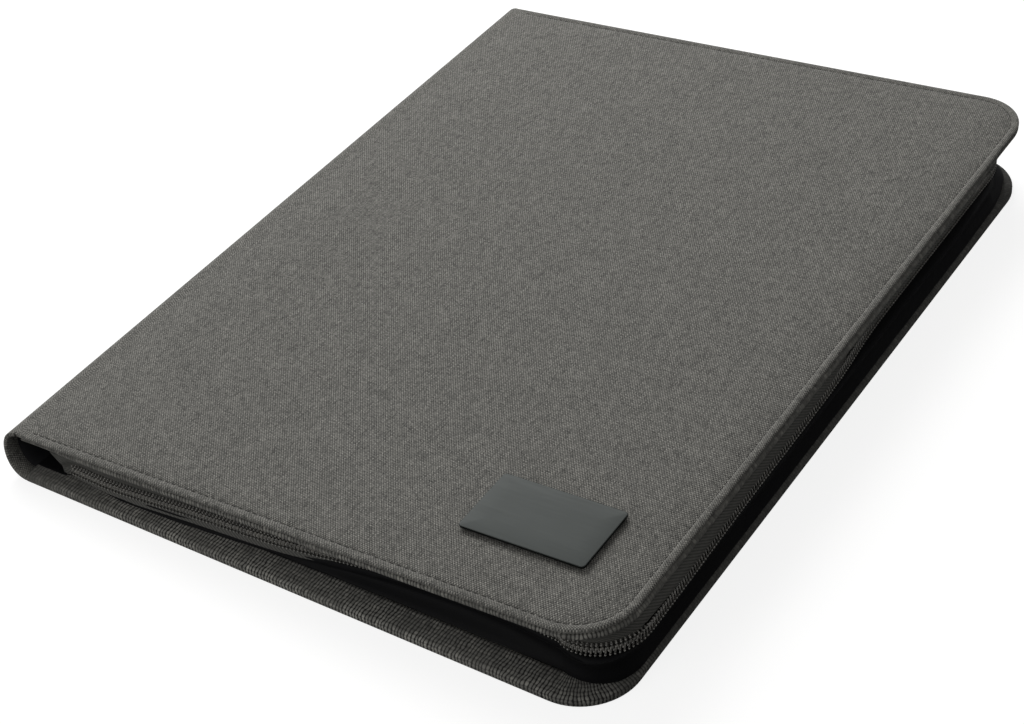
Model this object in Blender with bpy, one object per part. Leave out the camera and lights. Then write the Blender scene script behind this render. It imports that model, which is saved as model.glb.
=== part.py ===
# Zippered document case for A4 papers, in melange polyester over stiff boards.
# It lies shut on its back cover: spine along -X, long zip side along +X, front short side along -Y.
# The zip wall holds the front cover up, so it leans up from the spine to the long zip side.
# Metres, +Z up. The origin is the middle of the footprint, on the surface that the case lies on.
# Places are first laid out from the outermost line of the spine (x = 0) and the front edge of the
# back cover (y = 0), and the footprint is then centred.

import math

import bmesh
import bpy
from mathutils import Vector

# Covers, seen from above, laid out round an A4 pad with a pen beside it
paper_width = 0.210
paper_length = 0.297
pad_from_front = 0.0275
pad_from_back = 0.0225
pad_from_zip_edge = 0.0210
sleeve_margin = 0.0030        # of the pad's sleeve past each side of the pad
pen_loop_width = 0.0140
pen_loop_clearance = 0.0005   # from the sleeve
pen_loop_from_spine = 0.0050  # from where the spine starts to curve
front_cover_setback = 0.0012  # of its zip edge from the back cover's, seen from above
cover_corner = 0.022          # corner radius on the zip side
spine_side_corner = 0.002
cover_skew = 0.0046           # the soft spine lets the front cover lie this much further back
cover_lean = math.radians(2.86)

# Spine, seen from its end: a small curve from the front cover and a larger one to the back cover
upper_curve = 0.0065
lower_curve = 0.0115
spine_lining_skin = 0.0006
upper_fold_angle = math.radians(36.1)    # from the top of the upper curve to the fold line
lower_fold_angle = math.radians(40.0)    # from the bottom of the lower curve to the fold line

# Layers of the covers
outer_skin = 0.0007
lining_skin = 0.0005
foam_thickness = 0.0008
front_board_thickness = 0.0011
back_board_thickness = 0.0013
front_lining_setback = 0.0003 # of the lining's turned edge from the rim
front_crown = 0.0009          # the padding lifts the middle above the rim
crown_start = 0.005           # the line of topstitching, where the padding begins
crown_full = 0.022
crown_halfway_share = 0.75    # of the crown that is reached half way up its slope
back_hem = 0.0110             # width of the fabric turned over onto the inside

# Zip: its teeth run level with the front cover, a constant depth below the rim
zip_end_clearance = 0.0003    # over the back cover, at the spine's end of the lower row
tooth_row = 0.0022            # height of each of the two rows
row_gap = 0.0008              # the slider's neck runs between the rows
coil_thickness = 0.0016
tape_thickness = 0.0006
upper_tape_lean = 0.0015      # the tape is sewn on this much further in than the teeth
lower_tape_width = 0.0045
wall_thickness = 0.0008
wall_least_height = 0.0006
zip_start = 0.0160            # from where the spine starts to curve to the ends of the tapes
zip_inset_front = 0.0048
zip_inset_side = 0.0036
zip_inset_back = 0.0092
zip_corner_front = 0.020
zip_corner_back = 0.030
front_side_sway = 0.0052      # the shut zip is slack: this much further in along the front side,
front_corner_sway = -0.0021   # further out round the front corner
long_side_sway = 0.0019       # and further in again along the back half of the long side
# Where they grow and fade: front side 0 to 1, its corner to 2, long side to 3, back corner to 4
front_side_grows = (0.32, 0.75)
front_side_fades = (0.78, 1.20)
front_corner_grows = (0.95, 1.70)
long_side_grows = (2.34, 2.62)
long_side_fades = (2.94, 3.60)
zip_side_steps = 12
zip_least_step = 0.004        # between two places on the front side
stop_length = 0.0028
bottom_stop_setback = 0.0020  # from the front end of the tapes to the stop

# Slider, parked at the shut end of the zip on the back short side
slider_length = 0.0110
slider_overhang = 0.0014      # past the rows of teeth
slider_corner = 0.0015
slider_plate = 0.0010
neck_length = 0.0032
neck_clearance = 0.0002       # from each row of teeth
bridge_length = 0.0070
bridge_width = 0.0024
bridge_leg = 0.0012
bridge_top = 0.0008
pull_length = 0.0240
pull_side = 0.0012            # each side of the tab's window
pull_corner = 0.0012
pull_bar = 0.0012             # the bar under the bridge, and the thickness of the tab
pull_bar_play = 0.00015       # round the bar as it turns
pull_clearance = 0.0005       # of the window from the bridge

# Plate on the front cover
plate_length = 0.0500
plate_width = 0.0295
plate_thickness = 0.0010
plate_corner = 0.0016
plate_bevel = 0.0002
plate_backing_thickness = 0.0004
plate_backing_inset = 0.0012
plate_from_zip_edge = 0.0480  # to its middle
plate_from_front = 0.0403

# Inside the front cover
pocket_from_spine = 0.0200
pocket_from_zip_edge = 0.0230
pocket_from_front = 0.0220
pocket_height = 0.230
pocket_corner = 0.008
pocket_skin = 0.0006
card_slot_count = 3
card_slot_width = 0.100
card_slot_height = 0.030
card_slot_spacing = 0.0040
card_slot_corner = 0.002
card_slot_inset = 0.0230      # from the pocket's edge on the zip side
card_slot_drop = 0.0340       # from the pocket's mouth
card_slot_skin = 0.0005

# Inside the back cover
pad_corner = 0.0015
pad_card_thickness = 0.0008
pad_stack_thickness = 0.0050
pad_binding_skin = 0.0004
pad_binding_flap = 0.0100
sleeve_length = 0.150
sleeve_from_pad_front = 0.0065
sleeve_skin = 0.0006
pen_loop_headroom = 0.0005    # under the front cover's pocket
pen_loop_length = 0.0220
pen_loop_skin = 0.0009
pen_loop_corner = 0.0035

gap = 0.0003                  # left between pieces that touch
large_corner = 0.012          # corners from this radius on have the finer facets
large_corner_steps = 9
small_corner_steps = 2
least_corner_share = 0.1      # what an inset outline keeps at least of its corner radius
curve_steps = 7               # facets of each of the spine's two curves

# What follows from the values above
upper_centre_x = upper_curve
upper_centre_z = lower_curve
spine_height = upper_curve + lower_curve
front_skin_depth = outer_skin + gap + foam_thickness
front_board_depth = front_skin_depth + gap
front_thickness = front_board_depth + front_board_thickness + gap + lining_skin
back_board_top = outer_skin + gap + back_board_thickness
back_thickness = back_board_top + gap + outer_skin
inside_floor = back_thickness + gap
pen_loop_left = lower_curve + pen_loop_from_spine
sleeve_left = pen_loop_left + pen_loop_width + pen_loop_clearance
pad_left = sleeve_left + sleeve_margin
pad_right = pad_left + paper_width
back_cover_right = pad_right + pad_from_zip_edge
cover_length = pad_from_front + paper_length + pad_from_back
front_cover_back = cover_skew + cover_length
front_cover_reach = (
    (back_cover_right - front_cover_setback - upper_centre_x + upper_curve * math.sin(cover_lean))
    / math.cos(cover_lean)
)
pocket_top = front_thickness + gap
pocket_bottom = pocket_top + pocket_skin


def height(along, depth):
    # Of a place under the leaning front cover, at a depth from its rim.
    return upper_centre_z + along * math.sin(cover_lean) + (upper_curve - depth) * math.cos(cover_lean)


def depth_at(along, z):
    return upper_curve - (z - upper_centre_z - along * math.sin(cover_lean)) / math.cos(cover_lean)


def along_at(depth, z):
    # How far from the spine a depth under the front cover first reaches a height.
    return (z - height(0, depth)) / math.sin(cover_lean)


lower_row_bottom = depth_at(zip_start, inside_floor + zip_end_clearance)
teeth_depth = lower_row_bottom - tooth_row - row_gap / 2
upper_row = (teeth_depth - row_gap / 2 - tooth_row, teeth_depth - row_gap / 2)
lower_row = (teeth_depth + row_gap / 2, lower_row_bottom)
coil_outside = gap + coil_thickness
slider_outside = coil_outside + gap
slider_inside = -tape_thickness - gap
slider_width = 2 * tooth_row + row_gap + 2 * slider_overhang
slider_place = along_at(teeth_depth + slider_width / 2, inside_floor) + slider_length / 2
top_stop_end = slider_place - slider_length / 2 - gap
bridge_clear = pull_bar * math.sqrt(2) + 2 * pull_bar_play
pull_axis_outside = slider_outside + slider_plate + bridge_clear / 2
pull_window_width = bridge_width + 2 * pull_clearance
pull_window_end = bridge_length / 2 + bridge_clear / 2 + bridge_top + pull_clearance
sleeve_top = inside_floor + pad_card_thickness + gap + sleeve_skin
pad_stack_top = sleeve_top + gap + pad_stack_thickness


def on_front_cover(along, across, depth):
    # A place that leans with the front cover: from the spine's curve, from the cover's front edge
    # and down from its rim.
    x = upper_centre_x + along * math.cos(cover_lean) + (depth - upper_curve) * math.sin(cover_lean)
    return Vector((x, cover_skew + across, height(along, depth)))


def on_zip_back(along, outside, depth):
    # A place on the back short side of the zip, with its distance out from the tapes.
    return on_front_cover(along, cover_length - zip_inset_back + outside, depth)


def on_upper_curve(angle, radius):
    return upper_centre_x - radius * math.sin(angle), upper_centre_z + radius * math.cos(angle)


def on_lower_curve(angle, radius):
    return lower_curve - radius * math.sin(angle), lower_curve - radius * math.cos(angle)


def pivots():
    # One empty for each joint, on its axis, each hanging on the one that carries it.
    middle = Vector((back_cover_right / 2, front_cover_back / 2, 0))
    lower_x, lower_z = on_lower_curve(lower_fold_angle, lower_curve)
    upper_x, upper_z = on_upper_curve(upper_fold_angle, upper_curve)
    places = {
        "back_cover_body": (middle, None),
        "spine_pivot": (Vector((lower_x, middle.y, lower_z)), "back_cover_body"),
        "front_cover_pivot": (Vector((upper_x, middle.y, upper_z)), "spine_pivot"),
        "slider_track": (on_zip_back(slider_place, 0, teeth_depth), "back_cover_body"),
        "pull_pivot": (on_zip_back(slider_place, pull_axis_outside, teeth_depth), "slider_track"),
    }
    made = {}
    for name, (place, carrier) in places.items():
        empty = bpy.data.objects.new(name, None)
        empty.empty_display_size = 0.02
        bpy.context.scene.collection.objects.link(empty)
        if carrier:
            empty.parent = made[carrier][0]
            empty.location = place - made[carrier][1]
        made[name] = (empty, place)
    return made


def finish(name, colour, roughness, metallic=0.0):
    # A Principled material from an sRGB colour of three parts from 0 to 255.
    material = bpy.data.materials.new(name)
    material.use_nodes = True
    shader = material.node_tree.nodes["Principled BSDF"]
    linear = [((c / 255 + 0.055) / 1.055) ** 2.4 if c > 10 else c / 255 / 12.92 for c in colour]
    shader.inputs["Base Color"].default_value = (*linear, 1.0)
    shader.inputs["Roughness"].default_value = roughness
    shader.inputs["Metallic"].default_value = metallic
    return material


def rounded(left, right, front, back, radii, inset=0.0):
    # Corner by corner round a rectangle, anticlockwise from the front left, drawn in by the inset.
    front_left, front_right, back_right, back_left = radii
    left, right, front, back = left + inset, right - inset, front + inset, back - inset
    corners = (
        (left, front, 1, 1, front_left, 180),
        (right, front, -1, 1, front_right, 270),
        (right, back, -1, -1, back_right, 0),
        (left, back, 1, -1, back_left, 90),
    )
    points = []
    for x, y, inward_x, inward_y, radius, start in corners:
        steps = large_corner_steps if radius >= large_corner else small_corner_steps
        drawn = max(radius - inset, radius * least_corner_share)
        for step in range(steps + 1):
            angle = math.radians(start + 90 * step / steps)
            points.append((
                x + drawn * (inward_x + math.cos(angle)),
                y + drawn * (inward_y + math.sin(angle)),
            ))
    return points


def front_cover_ring(inset, depth):
    corners = (spine_side_corner, cover_corner, cover_corner, spine_side_corner)
    outline = rounded(gap, front_cover_reach, 0, cover_length, corners, inset)
    return [on_front_cover(x, y, depth) for x, y in outline]


def back_cover_ring(inset, z):
    corners = (spine_side_corner, cover_corner, cover_corner, spine_side_corner)
    outline = rounded(lower_curve, back_cover_right, 0, cover_length, corners, inset)
    return [Vector((x, y, z)) for x, y in outline]


class Case:
    # Keeps the pivots and makes each closed piece from its rings of points.
    def __init__(self):
        self.pivots = pivots()

    def piece(self, name, rings, material, pivot, closed_loop=False, smooth=False):
        # Joins each ring to the next, then caps the ends or joins the last ring to the first.
        empty, place = self.pivots[pivot]
        mesh = bpy.data.meshes.new(name)
        shape = bmesh.new()
        loops = [[shape.verts.new(point - place) for point in ring] for ring in rings]
        pairs = list(zip(loops, loops[1:]))
        if closed_loop:
            pairs.append((loops[-1], loops[0]))
        else:
            shape.faces.new(loops[0])
            shape.faces.new(loops[-1])
        for one, other in pairs:
            for i in range(len(one)):
                j = (i + 1) % len(one)
                shape.faces.new((one[i], one[j], other[j], other[i]))
        bmesh.ops.recalc_face_normals(shape, faces=shape.faces)
        shape.to_mesh(mesh)
        shape.free()
        mesh.materials.append(material)
        if smooth:
            mesh.shade_smooth()
            mesh.set_sharp_from_angle(angle=math.radians(35))
        made = bpy.data.objects.new(name, mesh)
        bpy.context.scene.collection.objects.link(made)
        made.parent = empty
        return made

    def slab(self, name, place, outline, low, high, material, pivot, bevel=0.0):
        # A flat piece between two depths or heights, with its upper edge broken where it has a bevel.
        rings = [[place(x, y, low) for x, y in outline(0)]]
        if bevel:
            rings.append([place(x, y, high + math.copysign(bevel, low - high)) for x, y in outline(0)])
        rings.append([place(x, y, high) for x, y in outline(bevel)])
        return self.piece(name, rings, material, pivot)

    def box(self, name, place, low, high, material, pivot):
        # A box between two corners, in the axes of the place function.
        rings = [
            [place(x, y, z) for x, y in (
                (low[0], low[1]), (high[0], low[1]), (high[0], high[1]), (low[0], high[1]),
            )]
            for z in (low[2], high[2])
        ]
        return self.piece(name, rings, material, pivot)


def helper(shape):
    shape.hide_render = True
    shape.display_type = "WIRE"
    return shape


def combine(piece, operation, others):
    for other in others:
        modifier = piece.modifiers.new(other.name, "BOOLEAN")
        modifier.operation = operation
        modifier.object = helper(other)


def front_cover(case, fabric, foam, board, lining):
    skin = outer_skin
    halfway = ((crown_start + crown_full) / 2, -front_crown * crown_halfway_share)
    crown = [(crown_start, 0), halfway, (crown_full, -front_crown)]
    outside = crown[::-1] + [(skin, 0), (0, skin), (0, front_skin_depth)]
    inside = [(skin, front_skin_depth), (skin, skin)]
    inside += [(inset, depth + skin) for inset, depth in crown]
    case.piece("front_cover_fabric", [front_cover_ring(*at) for at in outside + inside],
               fabric, "front_cover_pivot", smooth=True)
    padding = [(skin + gap, front_skin_depth), (skin + gap, skin + gap)]
    padding += [(inset, depth + gap) for inset, depth in inside[2:]]
    case.piece("front_foam", [front_cover_ring(*at) for at in padding], foam, "front_cover_pivot")
    board_inset = front_lining_setback + lining_skin + gap
    bottom = front_board_depth + front_board_thickness
    case.piece("front_board", [front_cover_ring(board_inset, depth) for depth in (front_board_depth, bottom)],
               board, "front_cover_pivot")
    turned = [
        (front_lining_setback + lining_skin, front_thickness),
        (front_lining_setback, front_thickness - lining_skin),
        (front_lining_setback, front_board_depth),
        (front_lining_setback + lining_skin, front_board_depth),
        (front_lining_setback + lining_skin, front_thickness - lining_skin),
    ]
    case.piece("front_lining", [front_cover_ring(*at) for at in turned], lining, "front_cover_pivot")


def back_cover(case, fabric, board, lining):
    skin, top = outer_skin, back_thickness
    section = [
        (skin, 0),
        (0, skin),
        (0, top - skin),
        (skin, top),
        (back_hem, top),
        (back_hem, top - skin),
        (skin, top - skin),
        (skin, skin),
    ]
    case.piece("back_cover_fabric", [back_cover_ring(*at) for at in section],
               fabric, "back_cover_body", smooth=True)
    case.piece("back_board", [back_cover_ring(skin + gap, z) for z in (skin + gap, back_board_top)],
               board, "back_cover_body")
    case.piece("back_lining", [back_cover_ring(back_hem + gap, z) for z in (top - skin, top)],
               lining, "back_cover_body")


def spine_strip(case, name, stations, material, pivot):
    # A strip along the spine. Each station is its outer and inner point, seen from the end.
    rings = []
    for outer, inner in stations:
        ring = []
        for back, (x, z) in ((0, outer), (1, outer), (1, inner), (0, inner)):
            skewed = cover_skew * min(z / spine_height, 1)
            ring.append(Vector((x, skewed + back * cover_length, z)))
        rings.append(ring)
    case.piece(name, rings, material, pivot, smooth=True)


def stations(curve, radius, start, end, outside, inside):
    # Points of a strip round one curve, from its start angle to its end angle.
    angles = [start + (end - start) * step / curve_steps for step in range(curve_steps + 1)]
    return [(curve(a, radius - outside), curve(a, radius - inside)) for a in angles]


def spine(case, fabric, lining):
    quarter = math.radians(90)
    lower_gap, upper_gap = gap / lower_curve, gap / upper_curve
    spine_strip(case, "spine_lower_fold",
                stations(on_lower_curve, lower_curve, lower_gap, lower_fold_angle - lower_gap, 0, outer_skin),
                fabric, "back_cover_body")
    spine_strip(case, "spine_upper_fold",
                stations(on_upper_curve, upper_curve, upper_fold_angle - upper_gap,
                         cover_lean + upper_gap, 0, outer_skin),
                fabric, "front_cover_pivot")
    layers = {
        "spine_fabric": (0, outer_skin, fabric),
        "spine_lining": (outer_skin + gap, outer_skin + gap + spine_lining_skin, lining),
    }
    for name, (outside, inside, material) in layers.items():
        lower = stations(on_lower_curve, lower_curve, lower_fold_angle + lower_gap, quarter, outside, inside)
        upper = stations(on_upper_curve, upper_curve, quarter, upper_fold_angle + upper_gap, outside, inside)
        spine_strip(case, name, lower + upper[1:], material, "spine_pivot")


def ease(value, low, high):
    share = min(max((value - low) / (high - low), 0), 1)
    return share * share * (3 - 2 * share)


def zip_sway(station):
    # How much further in than its plain path the slack zip lies.
    front = ease(station, *front_side_grows) - ease(station, *front_side_fades)
    corner = ease(station, *front_corner_grows) - ease(station, *long_side_grows)
    long_side = ease(station, *long_side_grows) - ease(station, *long_side_fades)
    return front * front_side_sway + corner * front_corner_sway + long_side * long_side_sway


def zip_path(start, end):
    # Round the three zip sides, from a distance off the spine on the front side to one on the back
    # side: along, across and the outward direction at each point.
    right = front_cover_reach - zip_inset_side
    front, back = zip_inset_front, cover_length - zip_inset_back
    front_corner = right - zip_corner_front
    long_start, long_end = front + zip_corner_front, back - zip_corner_back
    path = [(start / front_corner, start, front, 0, -1)]
    for step in range(1, zip_side_steps):
        share = step / zip_side_steps
        if share * front_corner > start + zip_least_step:
            path.append((share, share * front_corner, front, 0, -1))
    for y, inward, radius, first in ((front, 1, zip_corner_front, 270), (back, -1, zip_corner_back, 0)):
        centre_x, centre_y = right - radius, y + inward * radius
        for step in range(large_corner_steps + 1):
            share = step / large_corner_steps
            angle = math.radians(first + 90 * share)
            out_x, out_y = math.cos(angle), math.sin(angle)
            path.append((2 - inward + share, centre_x + radius * out_x, centre_y + radius * out_y, out_x, out_y))
        if inward > 0:
            for step in range(1, zip_side_steps):
                share = step / zip_side_steps
                path.append((2 + share, right, long_start + share * (long_end - long_start), 1, 0))
    path.append((4, end, back, 0, 1))
    return [
        (x - out_x * zip_sway(station), y - out_y * zip_sway(station), out_x, out_y)
        for station, x, y, out_x, out_y in path
    ]


def run(path, section):
    # Sections along the zip, each a loop of distances out from the tapes and depths.
    return [
        [on_front_cover(x + out_x * out, y + out_y * out, depth) for out, depth in section]
        for x, y, out_x, out_y in path
    ]


def wall_run(path, top, width, thickness):
    # A strip that hangs from a depth below the rim, down to the back cover where its width allows.
    rings = []
    for x, y, out_x, out_y in path:
        low = min(top + width, depth_at(x, inside_floor))
        inner_x, inner_y = x - out_x * thickness, y - out_y * thickness
        inner_low = min(top + width, depth_at(inner_x, inside_floor))
        rings.append([
            on_front_cover(x, y, top),
            on_front_cover(inner_x, inner_y, top),
            on_front_cover(inner_x, inner_y, inner_low),
            on_front_cover(x, y, low),
        ])
    return rings


def zip_tapes(case, tape, coil, wall, metal):
    top = front_thickness + gap
    lean, thin = upper_tape_lean, tape_thickness
    turn = teeth_depth - slider_width / 2 - gap       # the slider runs on the upright part
    section = [(0, upper_row[1]), (-thin, upper_row[1]), (-thin, turn), (-thin - lean, top),
               (-lean, top), (0, turn)]
    whole = zip_path(zip_start, zip_start)
    case.piece("upper_zip_tape", run(whole, section), tape, "front_cover_pivot")
    case.piece("lower_zip_tape", wall_run(whole, lower_row[0], lower_tape_width, thin),
               tape, "back_cover_body")
    # The wall starts where the lean leaves room for it under the tape.
    wall_top = lower_row[0] + lower_tape_width + gap
    wall_start = max(zip_start, along_at(wall_top, inside_floor + wall_least_height))
    case.piece("lower_gusset_wall",
               wall_run(zip_path(wall_start, wall_start), wall_top, cover_length, wall_thickness),
               wall, "back_cover_body")
    bottom_stop_start = zip_start + bottom_stop_setback
    bottom_stop_end = bottom_stop_start + stop_length
    rows = {"upper": (upper_row, "front_cover_pivot"), "lower": (lower_row, "back_cover_body")}
    for name, ((row_top, row_bottom), pivot) in rows.items():
        teeth = [(gap, row_top), (coil_outside, row_top), (coil_outside, row_bottom), (gap, row_bottom)]
        case.piece(name + "_zip_coil", run(zip_path(bottom_stop_end + gap, top_stop_end + gap), teeth),
                   coil, pivot)
        case.box(name + "_top_stop", on_zip_back,
                 (top_stop_end - stop_length, gap, row_top), (top_stop_end, coil_outside, row_bottom),
                 metal, pivot)
    case.box("zip_bottom_stop", on_front_cover,
             (bottom_stop_start, zip_inset_front - coil_outside, upper_row[0]),
             (bottom_stop_end, zip_inset_front - gap, lower_row[1]),
             metal, "back_cover_body")


def slider(case, metal):
    def on_slider(along, depth, outside):
        return on_zip_back(slider_place + along, outside, teeth_depth + depth)

    half, wide = slider_length / 2, slider_width / 2
    outline = lambda inset: rounded(-half, half, -wide, wide, (slider_corner,) * 4, inset)
    outer_face = slider_outside + slider_plate
    body = case.slab("zip_slider", on_slider, outline, slider_outside, outer_face, metal,
                     "slider_track")
    inner = case.slab("slider_inner_plate", on_slider, outline, slider_inside - slider_plate,
                      slider_inside, metal, "slider_track")
    sunk = slider_plate / 2
    neck_start = -half + sunk
    neck_half = row_gap / 2 - neck_clearance
    neck = case.box("slider_neck", on_slider,
                    (neck_start, -neck_half, slider_inside - sunk),
                    (neck_start + neck_length, neck_half, slider_outside + sunk),
                    metal, "slider_track")
    reach, side = bridge_length / 2, bridge_width / 2
    under, over = outer_face + bridge_clear, outer_face + bridge_clear + bridge_top
    arch = [
        (-reach, outer_face - sunk), (-reach, over), (reach, over), (reach, outer_face - sunk),
        (reach - bridge_leg, outer_face - sunk), (reach - bridge_leg, under),
        (bridge_leg - reach, under), (bridge_leg - reach, outer_face - sunk),
    ]
    bridge = case.piece("slider_bridge",
                        [[on_slider(x, depth, out) for x, out in arch] for depth in (-side, side)],
                        metal, "slider_track")
    combine(body, "UNION", (neck, inner, bridge))

    bar, wide = pull_bar / 2, pull_window_width / 2 + pull_side
    tab_outline = lambda inset: rounded(-bar, pull_length, -wide, wide, (pull_corner,) * 4, inset)
    tab = case.slab("pull_tab", on_slider, tab_outline, pull_axis_outside - bar,
                    pull_axis_outside + bar, metal, "pull_pivot")
    window = case.box("pull_window", on_slider,
                      (bar, -pull_window_width / 2, pull_axis_outside - pull_bar),
                      (pull_window_end, pull_window_width / 2, pull_axis_outside + pull_bar),
                      metal, "pull_pivot")
    combine(tab, "DIFFERENCE", (window,))


def plate(case, metal, backing):
    half, wide = plate_length / 2, plate_width / 2
    x, y = front_cover_reach - plate_from_zip_edge, plate_from_front
    outline = lambda inset: rounded(x - half, x + half, y - wide, y + wide, (plate_corner,) * 4, inset)
    fabric_top = -front_crown
    seat = fabric_top - gap - plate_backing_thickness
    case.slab("plate_backing", on_front_cover, lambda inset: outline(plate_backing_inset),
              fabric_top - gap, seat, backing, "front_cover_pivot")
    case.slab("name_plate", on_front_cover, outline, seat - gap, seat - gap - plate_thickness,
              metal, "front_cover_pivot", bevel=plate_bevel)


def front_pockets(case, lining):
    left, right = pocket_from_spine, front_cover_reach - pocket_from_zip_edge
    front, mouth = pocket_from_front, pocket_from_front + pocket_height
    outline = lambda inset: rounded(left, right, front, mouth, (pocket_corner,) * 4, inset)
    case.slab("document_pocket", on_front_cover, outline, pocket_top, pocket_bottom, lining,
              "front_cover_pivot")
    slot_right = right - card_slot_inset
    slot_left = slot_right - card_slot_width
    slot_top = pocket_bottom + gap
    for number in range(card_slot_count):
        back = mouth - card_slot_drop - number * (card_slot_height + card_slot_spacing)
        outline = lambda inset: rounded(slot_left, slot_right, back - card_slot_height, back,
                                        (card_slot_corner,) * 4, inset)
        case.slab(f"card_slot_{number + 1}", on_front_cover, outline, slot_top,
                  slot_top + card_slot_skin, lining, "front_cover_pivot")


def writing_pad(case, card, paper, tape):
    front, back = pad_from_front, pad_from_front + paper_length
    outline = lambda inset: rounded(pad_left, pad_right, front, back, (pad_corner,) * 4, inset)
    upright = lambda x, y, z: Vector((x, y, z))
    case.slab("pad_card", upright, outline, inside_floor, inside_floor + pad_card_thickness,
              card, "back_cover_body")
    case.slab("pad_sheets", upright, outline, sleeve_top + gap, pad_stack_top, paper,
              "back_cover_body")
    top, skin = pad_stack_top + gap + pad_binding_skin, pad_binding_skin
    head, flap = back + gap, back - pad_binding_flap
    section = [(flap, top), (head + skin, top), (head + skin, inside_floor),
               (head, inside_floor), (head, top - skin), (flap, top - skin)]
    case.piece("pad_binding", [[Vector((x, y, z)) for y, z in section] for x in (pad_left, pad_right)],
               tape, "back_cover_body")


def pad_sleeve(case, lining):
    # The pad's card slides into it from either end.
    left, right = sleeve_left, pad_right + sleeve_margin
    skin, floor, top = sleeve_skin, inside_floor, sleeve_top
    section = [(left, floor), (left, top), (right, top), (right, floor), (right - skin, floor),
               (right - skin, top - skin), (left + skin, top - skin), (left + skin, floor)]
    start = pad_from_front + sleeve_from_pad_front
    case.piece("pad_sleeve",
               [[Vector((x, y, z)) for x, z in section] for y in (start, start + sleeve_length)],
               lining, "back_cover_body")


def pen_loop(case, elastic):
    # It is as high as the room under the front cover at its spine side.
    left, right = pen_loop_left, pen_loop_left + pen_loop_width
    top = height(left - upper_centre_x, pocket_bottom) - pen_loop_headroom
    loop = lambda inset: rounded(left, right, inside_floor, top, (pen_loop_corner,) * 4, inset)
    start = (cover_length - pen_loop_length) / 2
    ends = (start, start + pen_loop_length)
    rings = [[Vector((x, y, z)) for x, z in loop(0)] for y in ends]
    rings += [[Vector((x, y, z)) for x, z in loop(pen_loop_skin)] for y in ends[::-1]]
    case.piece("pen_loop", rings, elastic, "back_cover_body", closed_loop=True, smooth=True)


def build():
    for old in list(bpy.data.objects):
        bpy.data.objects.remove(old)
    fabric = finish("melange_polyester", (98, 96, 91), 0.9)
    lining = finish("black_lining", (26, 26, 28), 0.85)
    foam = finish("white_foam", (205, 205, 200), 0.95)
    board = finish("grey_board", (150, 143, 130), 0.9)
    tape = finish("black_zip_tape", (38, 38, 38), 0.8)
    coil = finish("black_nylon", (30, 30, 31), 0.4)
    black_metal = finish("black_zinc", (40, 40, 42), 0.35, 1.0)
    plate_metal = finish("gunmetal_plate", (88, 90, 89), 0.4, 1.0)
    backing = finish("black_adhesive", (12, 12, 12), 0.7)
    paper = finish("white_paper", (238, 238, 232), 0.9)
    card = finish("pad_card", (165, 155, 138), 0.9)
    binding = finish("black_binding_tape", (28, 28, 32), 0.6)
    elastic = finish("black_elastic", (24, 24, 25), 0.85)
    case = Case()
    back_cover(case, fabric, board, lining)
    spine(case, fabric, lining)
    front_cover(case, fabric, foam, board, lining)
    zip_tapes(case, tape, coil, lining, black_metal)
    slider(case, black_metal)
    plate(case, plate_metal, backing)
    front_pockets(case, lining)
    writing_pad(case, card, paper, binding)
    pad_sleeve(case, lining)
    pen_loop(case, elastic)


build()
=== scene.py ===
# Looks for the zippered document case: soft cloth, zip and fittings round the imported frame.
from functools import partial
from math import cos, dist, exp, hypot, pi, radians, sin, sqrt

import bmesh
import bpy
import numpy as np
from mathutils import Matrix, Vector, noise


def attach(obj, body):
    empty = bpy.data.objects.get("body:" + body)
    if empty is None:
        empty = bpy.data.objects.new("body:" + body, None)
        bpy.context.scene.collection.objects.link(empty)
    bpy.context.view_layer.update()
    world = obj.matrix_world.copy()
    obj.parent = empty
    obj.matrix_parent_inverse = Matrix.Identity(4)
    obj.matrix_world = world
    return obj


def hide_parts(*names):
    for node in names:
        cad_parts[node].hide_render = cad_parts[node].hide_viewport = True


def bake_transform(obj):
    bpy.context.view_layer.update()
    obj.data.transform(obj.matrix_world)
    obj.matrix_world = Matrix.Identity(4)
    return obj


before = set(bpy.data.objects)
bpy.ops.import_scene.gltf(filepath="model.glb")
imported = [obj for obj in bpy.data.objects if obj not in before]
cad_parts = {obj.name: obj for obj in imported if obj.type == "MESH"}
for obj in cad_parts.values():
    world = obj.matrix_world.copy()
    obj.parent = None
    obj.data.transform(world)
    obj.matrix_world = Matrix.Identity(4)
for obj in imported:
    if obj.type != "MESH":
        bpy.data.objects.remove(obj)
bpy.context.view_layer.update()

mm = 0.001


def inMetres(**sizes):
    return {key: tuple(part * mm for part in size) if isinstance(size, tuple) else size * mm
        for key, size in sizes.items()}


# In mm, from the spine's outermost line and the back cover's front edge.
layout = inMetres(
    reach=257.95,  # front cover, from the spine's curve to its zip edge
    length=347,
    skew=4.6,  # the front cover lies this much further back
    upperCurve=6.5,
    lowerCurve=11.5,
    backRight=265,
    middle=(132.5, 175.8),
    corner=22,
    inside=3.6,  # floor of the room between the covers
)
reach, length, corner = layout["reach"], layout["length"], layout["corner"]
upperCurve, lowerCurve = layout["upperCurve"], layout["lowerCurve"]
lean = radians(2.86)  # slope of the front cover


def smooth(value, low, high):
    t = min(max((value - low) / (high - low), 0.0), 1.0)
    return t * t * (3 - 2 * t)


def centred(x, y, z):
    return Vector((x - layout["middle"][0], y - layout["middle"][1], z))


def depthAt(along, z):
    return upperCurve - (z - lowerCurve - along * sin(lean)) / cos(lean)


def onCover(along, across, depth):
    # along from the spine's curve, across from the cover's front edge, depth down from its rim
    x = upperCurve + along * cos(lean) + (depth - upperCurve) * sin(lean)
    z = lowerCurve + along * sin(lean) + (upperCurve - depth) * cos(lean)
    return centred(x, layout["skew"] + across, z)


coverNormal = (onCover(0, 0, 0) - onCover(0, 0, 1)).normalized()


def ripple(x, y, size, seed):
    # slow uneven pull of the cloth, from -1 to 1
    return noise.noise(Vector((x / size, y / size, seed)))


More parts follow.
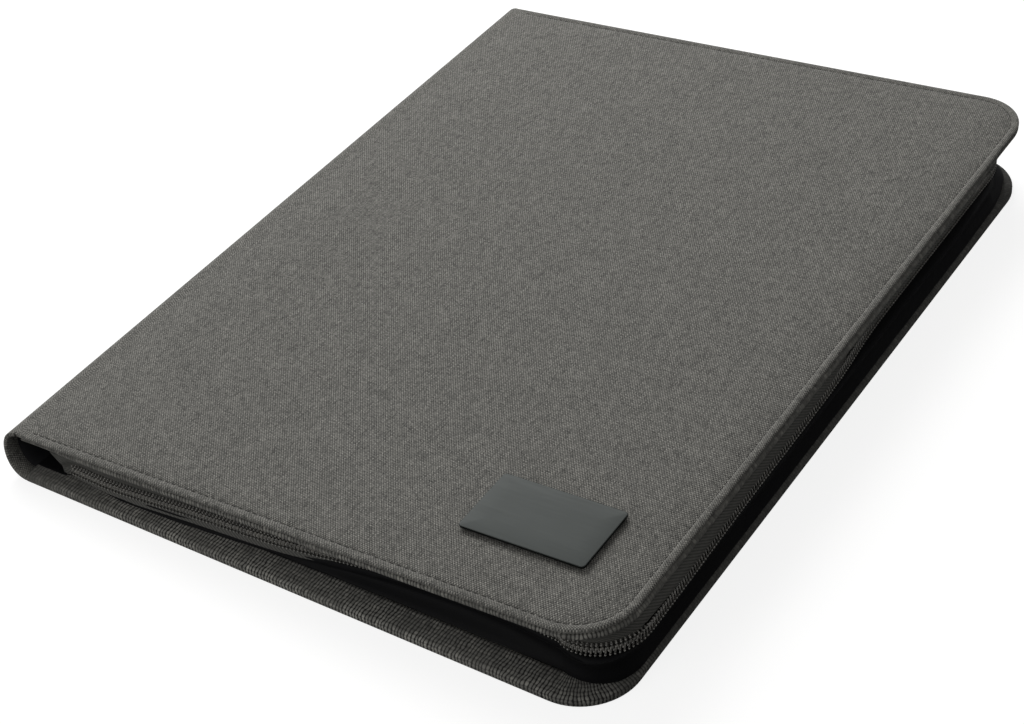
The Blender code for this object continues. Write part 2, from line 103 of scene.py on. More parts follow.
def lookUp(table, value):
    return float(np.interp(value, *zip(*table)))


# Node and mesh helpers.


def hexColour(text):
    parts = [int(text[i:i + 2], 16) / 255 for i in (1, 3, 5)]
    return tuple(c / 12.92 if c <= 0.04045 else ((c + 0.055) / 1.055) ** 2.4 for c in parts) + (1.0,)


def connect(node, links):
    for key, value in links.items():
        if isinstance(value, bpy.types.Node):
            value = value.outputs[0]
        if isinstance(value, bpy.types.NodeSocket):
            node.id_data.links.new(value, node.inputs[key])
        else:
            node.inputs[key].default_value = value


def addNode(tree, kind, links=(), stops=(), **settings):
    # The kind leaves out the tree's family and can name the operation; links go by socket or in order.
    kind, _, operation = kind.partition(" ")
    node = tree.nodes.new(kind if "Node" in kind else tree.bl_idname.replace("Tree", kind))
    if operation:
        node.operation = operation
    for key, value in settings.items():
        setattr(node, key, value)
    for number, (place, colour) in enumerate(stops):
        elements = node.color_ramp.elements
        stop = elements[number] if number < 2 else elements.new(place)
        stop.position, stop.color = place, hexColour(colour)
    connect(node, links if isinstance(links, dict) else dict(enumerate(links)))
    return node


def newFinish(name, specular=0.5, **sockets):
    # The material, what adds its nodes and what connects its shader.
    material = bpy.data.materials.new(name)
    material.use_nodes = True
    shader = material.node_tree.nodes["Principled BSDF"]
    sockets["Specular_IOR_Level"] = specular
    connect(shader, {key.replace("_", " "): value for key, value in sockets.items()})
    return material, partial(addNode, material.node_tree), partial(connect, shader)


def newObject(name, data):
    made = bpy.data.objects.new(name, data)
    bpy.context.scene.collection.objects.link(made)
    return made


# Finishes.

cloth = {
    "yarns": (0.52, 0.71),  # mm between the yarns, along and across the case
    "pulled": (1.37, 1.7),  # mm, where the cloth is pulled round an edge
    "rolled": (1.37, 1.9),  # mm, on the rim's second roll
    "wander": 1.6,  # mm that pulled yarns stray
    "flecks": 2.6,  # mm that one tone of a yarn lasts
    "tones": ("#31312f", "#5f5e5a", "#92908a"),
    "pulledTones": ("#4a4946", "#63625e", "#83817b"),
    "rolledTones": ("#403f3d", "#5c5b57", "#83817b"),
}


def weaveNodes(add, pitch, fleck, ribbed=False):
    # Plain weave on the cloth's flat measure. Ribbed, only one way's yarns show, as rows of dashes.
    flat = add("UVMap", uv_map="cloth")
    wander = add("TexNoise", {"Vector": flat, "Scale": 260.0, "Detail": 1.0})
    stray = cloth["wander"] * mm * ribbed
    drawn = add("VectorMath MULTIPLY_ADD", (wander.outputs["Color"], (stray, stray, 0), flat))
    split = add("SeparateXYZ", (drawn,))
    yarns = []
    for axis in (0, 1):
        lane = add("Math MULTIPLY", (split.outputs[axis], 1000 / pitch[axis]))
        turn = add("Math MULTIPLY", (add("Math FRACT", (lane,)), pi))
        yarns.append((lane, add("Math FLOOR", (lane,)), add("Math SINE", (turn,))))
    over = add("Math FLOORED_MODULO", (add("Math ADD", (yarns[0][1], yarns[1][1])), 2.0))
    shapes, tones = [], []
    for axis in (0, 1):
        (_, number, crest), (otherLane, _, otherCrest) = yarns[axis], yarns[1 - axis]
        rise = add("Math MULTIPLY_ADD", (otherCrest, 0.55, 0.45))
        shapes.append(add("Math MULTIPLY", (crest, rise)))
        apart = add("Math MULTIPLY", (number, 7.31))
        run = add("Math MULTIPLY", (otherLane, pitch[1 - axis] / fleck))
        place = add("CombineXYZ", (apart, run, 3.7 + 5 * axis))
        tones.append(add("TexNoise", {"Vector": place, "Scale": 1.0, "Roughness": 0.6}))
    if ribbed:
        return flat, shapes[0], tones[0], over
    height, tone = (add("Mix", {0: over, 2: one, 3: other}) for one, other in (shapes, tones))
    return flat, height, tone, over


def melangeFinish(name, pitch, tones, paintedShadeRange, spread=0.0, ribbed=True, shadeLevel=0.68, cornerShadeTone=0.62):
    # Melange polyester oxford: dark and light filaments twisted together, so each yarn changes tone along
    # its run; matt, with a faint dry sheen.
    material, add, finish = newFinish(name, Roughness=0.85, Sheen_Weight=0.06, Sheen_Roughness=0.45,
        specular=0.14)
    flat, height, tone, over = weaveNodes(add, pitch, cloth["flecks"], ribbed)
    # the yarns along the case are lighter
    spun = add("Math MULTIPLY_ADD", (over, -2 * spread, spread))
    ramp = add("ValToRGB", (add("Math ADD", (tone, spun)),),
        stops=((0.16, tones[0]), (0.84, tones[2]), (0.5, tones[1])))
    # slubs: thick stretches of yarn, about 2 mm by 12 mm
    slubs = [add("TexNoise", {"Vector": add("Mapping", {0: flat, "Scale": stretch}), "Scale": 1.0})
        for stretch in ((260.0, 45.0, 1.0), (45.0, 260.0, 1.0))]
    uneven = add("MapRange", (add("Mix", {0: 0.45, 2: slubs[0], 3: slubs[1]}), 0.3, 0.7, 0.91, 1.09))
    # painted shade and highlight: the weave's hollows are painted darker and its crests lighter
    paintedShade = add("MapRange", (height, 0.2 * ribbed, 0.9 - 0.2 * ribbed, *paintedShadeRange))
    if ribbed:
        # painted light and shade: the ribs open in patches only along the lit front side; off it, and most near the
        # spine end, the cloth is painted flat and darker
        x, y, _ = add("SeparateXYZ", (add("TexCoord").outputs["Object"],)).outputs
        front = add("MapRange", (y, -0.168, -0.135, 1.0, 0.1))
        spineShade = add("MapRange", (x, -0.115, -0.06, 0.3, 1.0))
        patch = add("TexNoise", {"Vector": flat, "Scale": 75.0, "Detail": 1.0})
        part = add("MapRange", (patch, 0.35, 0.6, 0.55, 1.0))
        litShare = add("Math MULTIPLY", (add("Math MULTIPLY", (front, spineShade)), part))
        paintedShade = add("Mix", {0: litShare, 2: shadeLevel, 3: paintedShade})
        # painted shade: darker from the front corner on, along the shaded long side
        cornerShade = add("MapRange", (x, 0.085, 0.12, 1.0, cornerShadeTone))
        paintedShade = add("Math MULTIPLY", (paintedShade, cornerShade))
    factor = add("Math MULTIPLY", (uneven, paintedShade))
    finish({"Base Color": add("VectorMath SCALE", {0: ramp, "Scale": factor}),
        "Normal": add("Bump", {"Height": height, "Strength": 0.55, "Distance": 0.00016})})
    return material


def liningFinish(name, base, sheen, pitch=0.6, shine=0.12):
    # Black polyester taffeta: tight smooth filament yarns with a low satin shine.
    material, add, finish = newFinish(name, Roughness=0.58, Sheen_Weight=sheen, specular=shine)
    flat, height, tone, _ = weaveNodes(add, (pitch, pitch), 14.0)
    # dust in soft patches about 20 mm across
    dust = add("TexNoise", {"Vector": flat, "Scale": 50.0, "Detail": 4.0})
    worn = add("MapRange", (add("Mix", {0: 0.5, 2: tone, 3: dust}), 0.3, 0.7, 0.75, 1.25))
    finish({"Base Color": add("VectorMath SCALE", {0: hexColour(base)[:3], "Scale": worn}),
        "Normal": add("Bump", {"Height": height, "Strength": 0.3, "Distance": 0.00006})})
    return material


def tapeFinish(name):
    # Woven polyester herringbone; its slanting ribs are painted lighter on their crests and darker between them, one by
    # one: painted highlight and shade beside their bump.
    legWide, ribApart = 8 * mm, 1.8 * mm
    material, add, finish = newFinish(name, Roughness=0.7, specular=0.15)
    flat = add("UVMap", uv_map="cloth")
    split = add("SeparateXYZ", (flat,))
    leg = add("Math PINGPONG", (split.outputs[1], legWide))
    slant = add("Math MULTIPLY_ADD", (leg, -1.5, split.outputs[0]))
    turns = add("Math MULTIPLY", (slant, 2 * pi / ribApart))
    rib = add("MapRange", (add("Math SINE", (turns,)), -1.0))
    fuzz = add("TexNoise", {"Vector": flat, "Scale": 900.0})
    tone = add("Mix", {0: 0.25, 2: rib, 3: fuzz})
    # painted highlight and shade: the tone follows each rib's height
    finish({"Base Color": add("ValToRGB", (tone,), stops=((0, "#383836"), (1, "#595854"))),
        "Normal": add("Bump", {"Height": rib, "Strength": 0.6, "Distance": 0.00014})})
    return material


def grainFinish(name, dark, light, scale, rough, ends=(0.3, 0.7), relief=(0.25, 0.00003), drag=None,
        detail=(4.0, 0.6), **sockets):
    # A plain part whose tone and polish vary a little, by noise of this size per metre.
    material, add, finish = newFinish(name, **sockets)
    where = add("TexCoord").outputs["Object"]
    if drag:
        where = add("Mapping", {0: where, "Scale": drag})
    grain = add("TexNoise", {"Vector": where, "Scale": scale, "Detail": detail[0], "Roughness": detail[1]})
    polishEnds = (0.2, 0.8) if drag else (0.3, 0.7)
    finish({"Base Color": add("ValToRGB", (grain,), stops=((ends[0], dark), (ends[1], light))),
        "Roughness": add("MapRange", (grain, *polishEnds, *rough)),
        "Normal": add("Bump", {"Height": grain, "Strength": relief[0], "Distance": relief[1]})})
    return material


def paperFinish(name):
    # Uncoated writing paper: matt, with the stack's sheets showing as thin lines at its edges.
    leaves = 0.5 * mm  # a sheet is 0.1 mm; five are drawn as one so that the lines show
    material, add, finish = newFinish(name, Roughness=0.9, specular=0.2)
    where = add("TexCoord").outputs["Object"]
    leaf = add("Math MULTIPLY", (add("SeparateXYZ", (where,)).outputs[2], 2 * pi / leaves))
    fibre = add("TexNoise", {"Vector": where, "Scale": 700.0, "Detail": 3.0})
    mixed = add("Mix", {0: 0.5, 2: add("Math SINE", (leaf,)), 3: fibre})
    finish({"Base Color": add("ValToRGB", (mixed,), stops=((0, "#dcdbd4"), (1, "#f1f0ea")))})
    return material


melange = melangeFinish("melangePolyester", cloth["yarns"], cloth["tones"], (0.66, 1.2), 0.16, ribbed=False)
# Pulled round an edge, the cloth opens and its light yarns stand as dashes over the dark ground, with strong painted
# shade between them and painted highlights on them.
melangeEdge = melangeFinish("melangePolyesterTurnedEdge", cloth["pulled"], cloth["pulledTones"], (0.04, 2.1))
# On the rim's second roll it keeps its tone.
melangeBand = melangeFinish("melangePolyesterRim", cloth["rolled"], cloth["rolledTones"], (0.25, 1.75),
    shadeLevel=0.98, cornerShadeTone=1.0)
lining = liningFinish("blackTaffetaLining", "#151517", 0.03)
gussetCloth = liningFinish("blackTaffetaGusset", "#0b0b0c", 0.01, shine=0.04)
zipTape = tapeFinish("wovenZipTape")
# Drawn nylon monofilament: smooth, with small bright highlights; its black is painted mid grey, a painted highlight, so
# the teeth read bright.
coilNylonPaintedHighlight = grainFinish("blackNylonCoilPaintedHighlight", "#4a4a48", "#86837d", 900.0, (0.28, 0.42), specular=0.5)
# Sewing thread: twisted polyester, matt.
sewingThread = grainFinish("darkSewingThread", "#151413", "#292724", 2500.0, (0.7, 0.85), specular=0.15)
# Zinc casting with black e-coat: satin, a little rubbed.
blackZinc = grainFinish("blackCoatedZinc", "#1d1d1e", "#343436", 400.0, (0.26, 0.44), Metallic=1.0)
# The pressed stops keep the coat's matt grain.
blackStop = grainFinish("blackCoatedStop", "#2c2c2b", "#3b3b39", 700.0, (0.5, 0.65), specular=0.3)
# Pressed board: pulp flecks, matt.
greyBoard = grainFinish("greyBoard", "#8a8376", "#a59c8b", 1200.0, (0.88, 0.96))
padCard = grainFinish("padBackingCard", "#9c927f", "#b3a892", 900.0, (0.85, 0.95))
# Double-sided foam tape: dull black.
blackAdhesive = grainFinish("blackFoamTape", "#080808", "#121212", 2000.0, (0.8, 0.9), specular=0.15)
# Embossed paper tape: slight wax shine.
bindingTape = liningFinish("blackBindingTape", "#1d1d20", 0.0, pitch=0.9)
# Braided elastic: cords lengthwise, woolly surface.
elastic = tapeFinish("blackBraidedElastic")
# Brushed steel with a dark satin coat, so the brushing shows only as a faint drag.
gunmetal = grainFinish("gunmetalPlate", "#191b1a", "#1f2120", 1.0, (0.36, 0.46), ends=(0, 1),
    relief=(0.06, 0.00002), drag=(18.0, 1500.0, 1500.0), detail=(3.0, 0.5), Metallic=1.0)
paper = paperFinish("whiteWritingPaper")
print("finishes made")

# Shaping helpers.


def meshObject(name, points, faces, flats, materials, sharp=38, numbers=None):
    # A mesh with its cloth measure as a UV map in metres, faces turned outwards.
    mesh = bpy.data.meshes.new(name)
    mesh.from_pydata([tuple(p) for p in points], [], faces)
    if numbers:
        mesh.polygons.foreach_set("material_index", numbers)
    mesh.uv_layers.new(name="cloth").data.foreach_set("uv", np.array(flats, np.float32).ravel())
    shape = bmesh.new()
    shape.from_mesh(mesh)
    bmesh.ops.recalc_face_normals(shape, faces=shape.faces)
    shape.to_mesh(mesh)
    shape.free()
    for material in materials:
        mesh.materials.append(material)
    mesh.shade_smooth()
    mesh.set_sharp_from_angle(angle=radians(sharp))
    return newObject(name, mesh)


def ringShell(name, rings, flats, material, sharp=38, edge=None):
    # Rings of points joined one to the next, the end rings filled. An edge (finish, first ring, last ring)
    # has its own finish, measured along and round it.
    count = len(rings[0])
    faces, uvs, numbers = [], [], []
    finish, first, last = edge or (None, 0, 0)
    middle = rings[(first + last) // 2]
    run, around = [0.0], 0.0
    for i in range(count):
        run.append(run[-1] + (middle[(i + 1) % count] - middle[i]).length)
    for k in range(len(rings) - 1):
        turned = first <= k < last
        further = around + (rings[k + 1][3] - rings[k][3]).length * turned
        for i in range(count):
            j = (i + 1) % count
            faces.append([k * count + i, k * count + j, (k + 1) * count + j, (k + 1) * count + i])
            if turned:
                uvs += [(run[i], around), (run[i + 1], around), (run[i + 1], further), (run[i], further)]
            else:
                uvs += [flats[k][i], flats[k][j], flats[k + 1][j], flats[k + 1][i]]
        numbers += [int(turned)] * count
        around = further
    for k in (0, len(rings) - 1):
        faces.append([k * count + i for i in range(count)])
        uvs += flats[k]
    return meshObject(name, sum(rings, []), faces, uvs, [material] + [finish] * bool(edge), sharp, numbers + [0, 0])


def thickSheet(name, outer, inner, flats, material, sharp=38):
    # Two grids of points and the strips that close their four edges.
    rows, columns = len(outer), len(outer[0])
    faces, uvs = [], []

    def addFace(*cells):
        faces.append([(back * rows + r) * columns + c for back, r, c in cells])
        uvs.extend(flats[r][c] for back, r, c in cells)

    for r in range(rows - 1):
        for c in range(columns - 1):
            addFace((0, r, c), (0, r, c + 1), (0, r + 1, c + 1), (0, r + 1, c))
            addFace((1, r, c), (1, r + 1, c), (1, r + 1, c + 1), (1, r, c + 1))
    for r in range(rows - 1):
        for c in (0, columns - 1):
            addFace((0, r, c), (0, r + 1, c), (1, r + 1, c), (1, r, c))
    for c in range(columns - 1):
        for r in (0, rows - 1):
            addFace((0, r, c), (1, r, c), (1, r, c + 1), (0, r, c + 1))
    return meshObject(name, sum(outer + inner, []), faces, uvs, [material], sharp)


def outline(left, right, front, back, radii, inset, leftInset, arcSteps=16, sideSteps=(44, 58, 44, 58)):
    # Anticlockwise from the front left corner: place, outward direction, the same point on the rim.
    sharpest = 0.12
    arcs = []
    for number, radius in enumerate(radii):
        inX, inY = (1, -1, -1, 1)[number], (1, 1, -1, -1)[number]
        x, y = (left if inX > 0 else right), (front if inY > 0 else back)
        drawX = leftInset if inX > 0 else inset
        drawn = max(radius - min(drawX, inset), radius * sharpest)
        arcs.append([])
        for step in range(arcSteps + 1):
            angle = radians(180 + 90 * number + 90 * step / arcSteps)
            outX, outY = cos(angle), sin(angle)
            arcs[-1].append((x + inX * drawX + drawn * (inX + outX), y + inY * inset + drawn * (inY + outY),
                outX, outY, x + radius * (inX + outX), y + radius * (inY + outY)))
    spots = []
    for number, arc in enumerate(arcs):
        steps = sideSteps[number]
        spots += arc + [tuple(a + (b - a) * step / steps for a, b in zip(arc[-1], arcs[(number + 1) % 4][0]))
            for step in range(1, steps)]
    return spots


def rimDistance(x, y, right):
    # How far in from the nearest zip side.
    nearX, nearY = right - x, min(y, length - y)
    if nearX < corner and nearY < corner:
        return corner - hypot(corner - nearX, corner - nearY)
    return min(nearX, nearY)


def sidePath(start, end, right, front, back, radii, spacing, arcSteps=18):
    # Round the three zip sides from the front one's spine end: place, outward direction, station (front side 0
    # to 1, its corner to 2, long side to 3, back corner to 4, back side 4.5) and distance run.
    path, (one, two) = [], radii

    def addSide(x, y, alongX, alongY, far, first, last=0):
        steps = max(2, round(far / spacing))
        path.extend((x + alongX * far * step / steps, y + alongY * far * step / steps, alongY, -alongX,
            first + (1 - first % 1) * step / steps * (1 - last)) for step in range(steps + last))

    def addCorner(x, y, radius, turned, first):
        for step in range(arcSteps):
            angle = radians(turned + 90 * step / arcSteps)
            path.append((x + radius * cos(angle), y + radius * sin(angle), cos(angle), sin(angle),
                first + step / arcSteps))

    addSide(start, front, 1.0, 0.0, right - one - start, start / (right - one))
    addCorner(right - one, front + one, one, 270, 1)
    addSide(right, front + one, 0.0, 1.0, back - two - front - one, 2)
    addCorner(right - two, back - two, two, 0, 3)
    addSide(right - two, back, -1.0, 0.0, right - two - end, 4.5, last=1)
    return withRun(path)


def withRun(path):
    run, measured = 0.0, []
    for number, spot in enumerate(path):
        run += dist(spot[:2], path[number - 1][:2]) if number else 0.0
        measured.append((*spot, run))
    return measured


def pathStrip(name, path, section, place, material, sharp=50):
    # A closed section, as (out, depth), carried along a path.
    rings, flats = [], []
    for x, y, outX, outY, station, run in path:
        shape = section(x, y, outX, outY, station)
        rings.append([place(x + outX * out, y + outY * out, depth) for out, depth in shape])
        flats.append([(run, 0.0)])
        for one, other in zip(shape, shape[1:]):
            flats[-1].append((run, flats[-1][-1][1] + dist(one, other)))
    return ringShell(name, rings, flats, material, sharp)


# Front cover: padded panel with a rolled, topstitched rim.

frontCover = {
    "unevenness": 0.10,  # mm, slow pull of the cloth over the padding
    "pucker": 0.05,  # mm, beside the stitches
    "stitchLine": 3.2,  # mm in from the edge
}
# mm in from the edge, mm down: edge roll, sewn groove, slope of the padding
rimProfile = [(0, .8), (.08, .45), (.3, .18), (.7, .02), (1.2, -.08), (1.7, -.1), (2.2, -.02), (2.7, .16), (3, .3),
    (3.2, .36), (3.4, .3), (3.8, .1), (4.5, -.1), (5.5, -.25), (7, -.4), (9, -.52), (12, -.66), (16, -.78),
    (21, -.87), (28, -.9), (400, -.9)]
# the long side's padding falls away deeper
sideProfile = [(0, .8), (.08, .45), (.3, .18), (.7, .02), (1.2, -.1), (1.7, -.12), (2.2, -.02), (2.6, .2),
    (2.95, .48), (3.2, .62), (3.45, .6), (4, .46), (5, .27), (7, -.05), (9, -.32), (12, -.6),
    (15, -.78), (18, -.87), (22, -.9), (400, -.9)]
plainProfile = [(0, .55), (.08, .3), (.3, .1), (.7, .02), (1.3, .0), (5, -.05), (8.6, -.28), (13, -.6),
    (16.5, -.77), (21, -.88), (28, -.9), (400, -.9)]
spineProfile = [(0, 0), (1.5, -.02), (4, -.09), (7, -.24), (10.5, -.44), (14, -.64), (18, -.8), (23, -.88),
    (30, -.9), (400, -.9)]


def coverTop(x, y):
    # Depth of the front cover's cloth, in metres
    d = max(rimDistance(x, y, reach), 0) / mm
    away = x / mm
    fade = smooth(away, 1.5, 16)
    beside = smooth(min(y, length - y) - (reach - x), -10 * mm, 10 * mm)  # 1 where the long side is nearer
    rim = lookUp(rimProfile, d) * (1 - beside) + lookUp(sideProfile, d) * beside
    depth = max(lookUp(plainProfile, d) * (1 - fade) + rim * fade, lookUp(spineProfile, away))
    pull = ripple(x, y, 55 * mm, 2.0) + 0.45 * ripple(x, y, 21 * mm, 7.0)
    stitched = exp(-((d - frontCover["stitchLine"] - .7) / 1.4) ** 2)
    pucker = stitched * fade * frontCover["pucker"] * sin((x + y) / (1.1 * mm))
    calm = smooth(d, 0.5, 9) * smooth(away, 1, 12)
    return (depth - frontCover["unevenness"] * pull * calm + pucker) * mm


def shell(name, specs, edges, radii, place, material, sharp, edge=None, **steps):
    # A ring for each spec: mm in, mm in at the spine's side and what place needs.
    rings, flats = [], []
    for inset, leftInset, *rest in specs:
        made = [place(spot, inset, *rest) for spot in outline(*edges, radii, inset * mm, leftInset * mm, **steps)]
        rings.append([point for point, flat in made])
        flats.append([flat for point, flat in made])
    return ringShell(name, rings, flats, material, sharp, edge)


def coverPoint(spot, inset, depth, spread):
    x, y, outX, outY, rimX, rimY = spot
    if depth is None:
        return onCover(x, y, coverTop(x, y)), (x, y)
    return onCover(x, y, depth * mm), (rimX + outX * spread * mm, rimY + outY * spread * mm)


topInsets = [118, 104, 90, 76, 62, 50, 40, 33, 28, 24, 21, 18.5, 16.5, 14.5, 13, 11.7, 10.5, 9.5, 8.6, 7.8, 7, 6.3,
    5.6, 5, 4.5, 4.1, 3.8, 3.55, 3.35, 3.2, 3.05, 2.85, 2.6, 2.3, 2, 1.65, 1.3, 1, .7, .5, .3, .18, .08, .02]
specs = [(inset, inset if inset > 0.02 else 0, None, 0) for inset in topInsets]
specs += [(0, 0, .95, .2), (.05, 0, 1.15, .5), (.18, 0, 1.36, .8), (.42, 0, 1.53, 1.1), (.8, .1, 1.64, 1.6),
    (1.5, .6, 1.7, 2.2), (6, 5, 1.8, 7), (60, 60, 1.8, -60), (118, 118, 1.8, -118)]
frontCoverCloth = shell("frontCoverCloth", specs, (0, reach, 0, length), (1.2 * mm, corner, corner, 1.2 * mm),
    coverPoint, melange, 60, (melange, topInsets.index(3.2), len(topInsets) + 5))
print("front cover made")

# The rim's second roll: the cloth turned round the board's edge, below the sewn crease.
edgeBand = {"top": 1.78, "bottom": 4.28, "spineBottom": 3.3, "turnedUnder": 4.4, "bulge": 0.12, "sideFlare": 0.6}


def bandSection(x, y, outX, outY, station):
    top, under = edgeBand["top"], edgeBand["turnedUnder"]
    # at the long side's back corner the padding is thin and the roll hangs over the band
    thin = smooth(y, length - 75 * mm, length - 30 * mm) * smooth(x, reach - 90 * mm, reach - 30 * mm)
    full = smooth(x, 1 * mm, 32 * mm) * (1 - .7 * thin)
    bottom = edgeBand["spineBottom"] + (edgeBand["bottom"] - edgeBand["spineBottom"]) * full
    wave = edgeBand["bulge"] * ripple(x, y, 28 * mm, 4.0)
    flare = edgeBand["sideFlare"] * max(outX, 0) ** 2 * (1 - thin)
    flare -= .7 * (1 - smooth(x, 6 * mm, 45 * mm)) + .55 * thin
    shape = [(-1.3, top), (-.8, top + .08), (-.42, top + .22), (-.16 + wave * .3, top + .45),
        (wave * .6 + flare * .4, top + .85), (.03 + wave + flare * .8, top + 1.3),
        (wave * .8 + flare, bottom - .6), (-.2 + flare, bottom - .22), (-.6 + flare, bottom - .03),
        (-1.6, bottom), (-under, bottom),
        (-under, bottom - .35), (-1.7, bottom - .4), (-1.2, bottom - .6), (-1.3, top + .5)]
    return [(out * mm, depth * mm) for out, depth in shape]


bandPath = sidePath(2.5 * mm, 2.5 * mm, reach, 0, length, (corner, corner), 4 * mm)
frontEdgeBand = pathStrip("frontEdgeBand", bandPath, bandSection, onCover, melangeBand)
print("rim made")

# Lining inside the front cover.


def flatPanel(name, edges, radii, faces, place, material, edge=0.25, uneven=0.0, seed=1.0):
    # Cloth between two depths in mm, with rounded folded edges.
    left, right, front, back = edges
    near, far = faces[0] * mm, faces[1] * mm
    thick = far - near
    most = min(right - left, back - front) / 2 / mm - .4
    insets = [min(inset, most * (.6 + inset / 100)) for inset in (40, 24, 14, 7, 3, 1.2, edge)]
    specs = [(inset, inset, near) for inset in insets] + [(0, 0, near + thick * .3), (0, 0, far - thick * .3)]
    specs += [(inset, inset, far) for inset in insets[::-1]]

    def panelPoint(spot, inset, depth):
        x, y = spot[:2]
        return place(x, y, depth + uneven * mm * ripple(x, y, 30 * mm, seed) * smooth(inset, 0, 6)), (x, y)

    return shell(name, specs, edges, radii, panelPoint, material, 50, arcSteps=8, sideSteps=(16, 22, 16, 22))


liningInset = 4 * mm
cornerInside = corner - liningInset
frontLining = flatPanel("frontLining", (2.2 * mm, reach - liningInset, liningInset, length - liningInset),
    (1.5 * mm, cornerInside, cornerInside, 1.5 * mm), (3.5, 4), onCover, lining)

# Back cover.

backCover = {
    "hem": 11.0,  # mm of the cloth turned over onto the inside
    "unevenness": 0.12,
    "radii": (.3, 22, 23.4, .3),
}
# mm in from the edge, the same at the spine, mm up, mm of cloth beyond the edge
backSpecs = [(116, 116, 0, -116), (70, 70, 0, -70), (30, 30, 0, -30), (12, 8, 0, -12), (4, 3, 0, -4),
    (1.2, 1, 0, -1.2), (.3, .15, 0, -.3), (.06, .05, .1, 0), (0, 0, .35, .3), (.03, 0, .75, .7),
    (.22, .05, 1.0, 1), (.16, .05, 1.2, 1.3), (.02, 0, 1.5, 1.6), (0, 0, 1.9, 1.9), (.04, 0, 2.3, 2.3),
    (.22, 0, 2.66, 2.7), (.55, 0.02, 2.95, 3.2), (1.1, .05, 3.14, 3.8), (2.2, .1, 3.26, 4.9),
    (4, .1, 3.3, 6.7), (7, .2, 3.3, 9.7), (9.6, .2, 3.28, 12.3), (10.7, .2, 3.2, 13.4), (11, .2, 3.0, 13.7),
    (11, .2, 2.7, 14), (8, .3, 2.65, 11), (1.6, .7, 2.6, 4), (1.0, .7, 1.5, 2), (1.6, .9, .72, -1),
    (12, 10, .7, -12), (70, 70, .7, -70), (116, 116, .7, -116)]
hemFrom, hemTo = 6, 24  # rings


def backPoint(spot, inset, z, spread):
    x, y, outX, outY, rimX, rimY = spot
    turned = 1.2 < z < 3.4 and inset < 9
    fade = smooth(x, lowerCurve + 2 * mm, lowerCurve + 16 * mm)
    wave = backCover["unevenness"] * ripple(x + y, y - x, 34 * mm, 11.0) * fade if turned else 0.0
    # the hem is flatter beside the spine
    level = z * (2.95 + .35 * smooth(x, lowerCurve, lowerCurve + 6 * mm)) / 3.3
    point = centred(x + outX * wave * mm, y + outY * wave * mm, (level + wave * .5 * (z > 2.2)) * mm)
    return point, (rimX + outX * spread * mm, rimY + outY * spread * mm)


backRadii = [radius * mm for radius in backCover["radii"]]
backCoverCloth = shell("backCoverCloth", backSpecs, (lowerCurve, layout["backRight"], 0, length), backRadii,
    backPoint, melange, 60, (melangeEdge, hemFrom, hemTo))
hemEnd = (backCover["hem"] + 0.3) * mm
backLeft = lowerCurve + .3 * mm
backLining = flatPanel("backLining", (backLeft, layout["backRight"] - hemEnd, hemEnd, length - hemEnd),
    [max(radius - hemEnd, 1.5 * mm) for radius in backRadii], (2.6, 3.3), centred, lining)
# The wall's end, sewn down flat over the hem.
wallEnd = flatPanel("gussetEndCloth", (backLeft, 29 * mm, 6.6 * mm, 17.6 * mm), (.5 * mm, 5 * mm, .5 * mm, .5 * mm),
    (3.32, 3.6), centred, gussetCloth, edge=0.15)
print("back cover made")

# Spine: cloth and lining, in two halves that bend at the fold lines.

spine = {"cloth": 0.75, "lining": 0.55, "gap": 0.2, "steps": 20, "alongSteps": 40, "edgeRound": 0.28,
         "turnedOver": 6.5, "turnedThick": 1.55}  # mm, the cloth's hem inside both ends


def spineHalf(name, centreX, radius, angles, isCloth, material, uvStart):
    steps, alongSteps, hem = spine["steps"], spine["alongSteps"], spine["turnedOver"] * mm
    outer, inner, flats = [], [], []
    places = [0.0 if isCloth else hem - 1.2 * mm]
    places.append(places[0] + spine["edgeRound"] * mm)
    places += [hem - .5 * mm, hem, hem + .3 * mm] if isCloth else []
    first = places[-1]
    places += [first + (length - 2 * first) * s / alongSteps for s in range(1, alongSteps)]
    places += [length - place for place in places[:-alongSteps + 1][::-1]]
    for number, place in enumerate(places):
        pinch = spine["edgeRound"] * mm * 0.8 if number in (0, len(places) - 1) else 0.0
        if isCloth:
            turned = 1 - smooth(min(place, length - place), hem - .2 * mm, hem + .3 * mm)
            outside, thick = 0.0, spine["cloth"] * mm + (spine["turnedThick"] - spine["cloth"]) * mm * turned
        else:
            outside, thick = (spine["cloth"] + spine["gap"]) * mm, spine["lining"] * mm
        for rows, r in ((outer, radius - outside - pinch), (inner, radius - outside - thick + pinch)):
            rows.append([])
            for step in range(steps + 1):
                angle = angles[0] + (angles[1] - angles[0]) * step / steps
                x, z = centreX - r * sin(angle), lowerCurve + r * cos(angle)
                x += 0.10 * mm * ripple(place, z, 45 * mm, 5.0) * sin(abs(angle))
                skew = layout["skew"] * min(max(z / (upperCurve + lowerCurve), 0), 1)
                rows[-1].append(centred(x, place + skew, z))
        flats.append([(-uvStart - abs(angles[1] - angles[0]) * step / steps * radius, place)
            for step in range(steps + 1)])
    return thickSheet(name, outer, inner, flats, material, sharp=60)


quarter = radians(90)
spinePieces = []
for layer, material in (("Cloth", melange), ("Lining", lining)):
    isCloth = layer == "Cloth"
    spinePieces.append(spineHalf("spineFront" + layer, upperCurve, upperCurve, (lean, quarter), isCloth, material, 0.0))
    spinePieces.append(spineHalf("spineBack" + layer, lowerCurve, lowerCurve, (quarter, 2 * quarter), isCloth,
        material, upperCurve * (quarter - lean)))
spineFrontCloth, spineBackCloth, spineFrontLining, spineBackLining = spinePieces
print("spine made")

# Zip: woven tapes, the black gusset under them and the two rows of nylon teeth.

